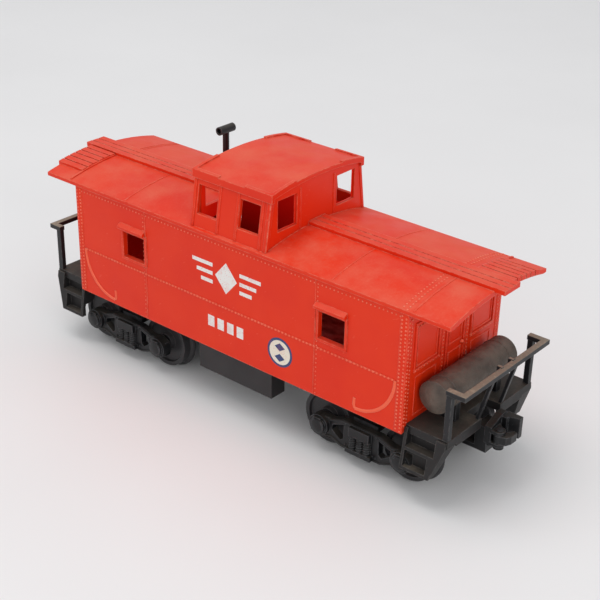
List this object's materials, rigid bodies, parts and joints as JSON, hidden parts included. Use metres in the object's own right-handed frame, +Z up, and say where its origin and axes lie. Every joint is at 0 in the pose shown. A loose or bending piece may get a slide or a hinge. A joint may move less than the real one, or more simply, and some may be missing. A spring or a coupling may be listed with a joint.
{
  "type": "model caboose",
  "caption": "Toy-train caboose with a red moulded body, central cupola, black swivelling trucks, couplers, end platforms, railings and steps.",
  "frame": {"origin": "on the rail plane under the centre of the car, at the wheels' lowest points", "axes": "+X along the car towards the end with the tank, +Y to the car's left, +Z up"},
  "size_m": [0.201, 0.0568, 0.0893],
  "materials": {
    "red_plastic": "satin orange-red moulded plastic, dusty and rubbed pale on its edges",
    "black_plastic": "satin black moulded plastic with tan dust on upward faces",
    "grey_plastic": "dull brown-grey moulded plastic, dusty",
    "plain_steel": "plain dull steel"
  },
  "bodies": {
    "car": {"body_shell": "red_plastic", "cupola_roof": "red_plastic", "smoke_jack": "black_plastic", "underframe": "black_plastic", "ballast_weight": "plain_steel", "body_screws": "plain_steel", "tool_box_right": "black_plastic", "tool_box_left": "black_plastic", "platform_front": "black_plastic", "platform_rear": "black_plastic", "end_tank": "grey_plastic", "tank_saddles": "black_plastic", "steps_front_right": "black_plastic", "steps_front_left": "black_plastic", "railing_front": "black_plastic", "king_pin_front": "plain_steel", "steps_rear_right": "black_plastic", "steps_rear_left": "black_plastic", "railing_rear": "black_plastic", "king_pin_rear": "plain_steel"},
    "truck_front": {"bolster_front": "plain_steel", "side_frame_front_right": "black_plastic", "side_frame_front_left": "black_plastic", "coupler_front": "black_plastic", "coupler_rivet_front": "plain_steel", "knuckle_pin_front": "plain_steel"},
    "knuckle_front": {"knuckle_front": "black_plastic"},
    "truck_rear": {"bolster_rear": "plain_steel", "side_frame_rear_right": "black_plastic", "side_frame_rear_left": "black_plastic", "coupler_rear": "black_plastic", "coupler_rivet_rear": "plain_steel", "knuckle_pin_rear": "plain_steel"},
    "knuckle_rear": {"knuckle_rear": "black_plastic"},
    "wheelset_1": {"axle_1": "plain_steel", "wheel_1_right": "black_plastic", "wheel_1_left": "black_plastic"},
    "wheelset_2": {"axle_2": "plain_steel", "wheel_2_right": "black_plastic", "wheel_2_left": "black_plastic"},
    "wheelset_3": {"axle_3": "plain_steel", "wheel_3_right": "black_plastic", "wheel_3_left": "black_plastic"},
    "wheelset_4": {"axle_4": "plain_steel", "wheel_4_right": "black_plastic", "wheel_4_left": "black_plastic"}
  },
  "joints": [
    {"name": "truck_front_swivel", "type": "hinge", "parent": "car", "child": "truck_front", "pos_m": [0.0559, 0, 0.0157], "axis": [0, 0, 1], "range_deg": [-3, 3]},
    {"name": "knuckle_front_swing", "type": "hinge", "parent": "truck_front", "child": "knuckle_front", "pos_m": [0.0964, -0.003, 0.0204], "axis": [0, 0, -1], "range_deg": [0, 40]},
    {"name": "truck_rear_swivel", "type": "hinge", "parent": "car", "child": "truck_rear", "pos_m": [-0.0559, 0, 0.0157], "axis": [0, 0, 1], "range_deg": [-3, 3]},
    {"name": "knuckle_rear_swing", "type": "hinge", "parent": "truck_rear", "child": "knuckle_rear", "pos_m": [-0.0964, 0.003, 0.0204], "axis": [0, 0, -1], "range_deg": [0, 40]},
    {"name": "wheelset_1_spin", "type": "hinge", "parent": "truck_front", "child": "wheelset_1", "pos_m": [0.0728, 0, 0.01105], "axis": [0, 1, 0], "continuous": true},
    {"name": "wheelset_2_spin", "type": "hinge", "parent": "truck_front", "child": "wheelset_2", "pos_m": [0.039, 0, 0.01105], "axis": [0, 1, 0], "continuous": true},
    {"name": "wheelset_3_spin", "type": "hinge", "parent": "truck_rear", "child": "wheelset_3", "pos_m": [-0.039, 0, 0.01105], "axis": [0, 1, 0], "continuous": true},
    {"name": "wheelset_4_spin", "type": "hinge", "parent": "truck_rear", "child": "wheelset_4", "pos_m": [-0.0728, 0, 0.01105], "axis": [0, 1, 0], "continuous": true}
  ]
}
